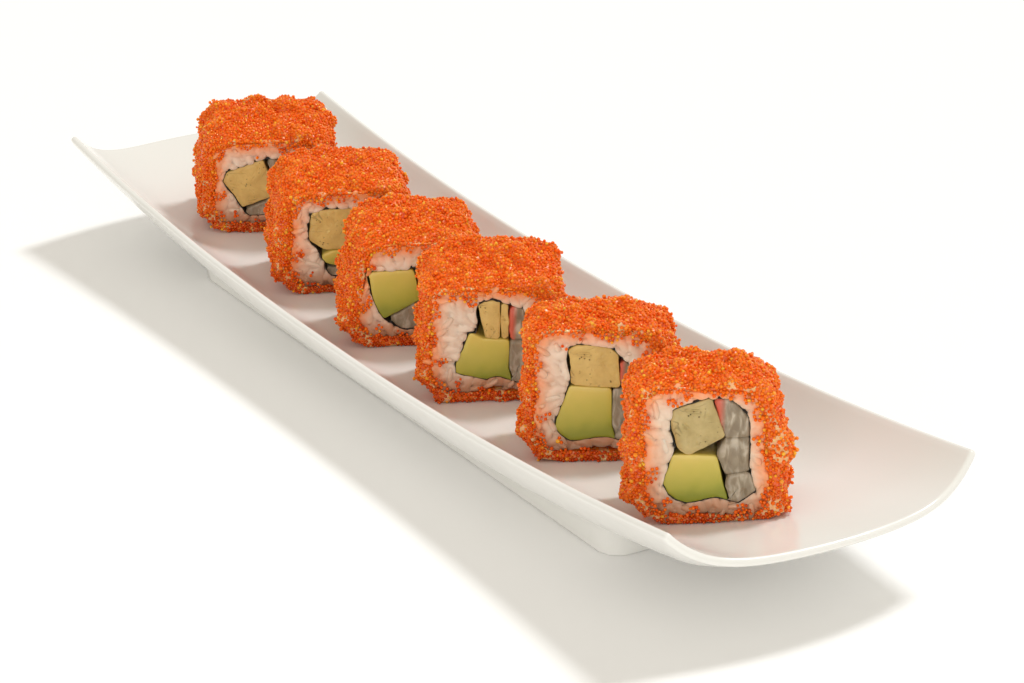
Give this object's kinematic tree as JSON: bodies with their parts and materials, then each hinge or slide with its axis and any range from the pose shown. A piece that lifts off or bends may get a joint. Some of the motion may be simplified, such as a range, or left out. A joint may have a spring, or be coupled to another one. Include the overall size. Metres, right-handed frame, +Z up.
{
  "type": "tray of sushi rolls",
  "caption": "Square inside-out sushi rolls coated with orange fish roe, standing in a row on a long white dish with upswept ends and a rectangular foot",
  "frame": {"origin": "On the table under the middle of the plate's bounding box", "axes": "X along the plate's length towards the roll nearest the camera, Y across its width away from the rolls' front cut faces, Z up"},
  "size_m": [0.3792, 0.0974, 0.0555],
  "materials": {
    "porcelain": "glossy white glaze",
    "roe": "glossy translucent orange beads",
    "rice": "moist translucent grains",
    "nori": "matte dried seaweed sheet",
    "omelette": "matte and finely porous",
    "avocado": "smooth and satin",
    "crab": "fibrous and moist"
  },
  "bodies": {
    "root": {"plate": "porcelain", "roll_1_roe": "roe", "roll_1_rice": "rice", "roll_1_nori": "nori", "roll_1_omelette": "omelette", "roll_1_avocado": "avocado", "roll_1_crab_1": "crab", "roll_1_crab_2": "crab", "roll_1_crab_3": "crab", "roll_2_roe": "roe", "roll_2_rice": "rice", "roll_2_nori": "nori", "roll_2_omelette": "omelette", "roll_2_avocado": "avocado", "roll_2_crab_1": "crab", "roll_2_crab_2": "crab", "roll_3_roe": "roe", "roll_3_rice": "rice", "roll_3_nori": "nori", "roll_3_omelette_1": "omelette", "roll_3_omelette_2": "omelette", "roll_3_avocado": "avocado", "roll_3_crab_1": "crab", "roll_3_crab_2": "crab", "roll_4_roe": "roe", "roll_4_rice": "rice", "roll_4_nori": "nori", "roll_4_avocado_1": "avocado", "roll_4_avocado_2": "avocado", "roll_4_crab_1": "crab", "roll_5_roe": "roe", "roll_5_rice": "rice", "roll_5_nori": "nori", "roll_5_omelette": "omelette", "roll_5_avocado": "avocado", "roll_5_crab_1": "crab", "roll_5_crab_2": "crab", "roll_6_roe": "roe", "roll_6_rice": "rice", "roll_6_nori": "nori", "roll_6_omelette": "omelette", "roll_6_crab_1": "crab", "roll_6_crab_2": "crab"}
  },
  "joints": []
}
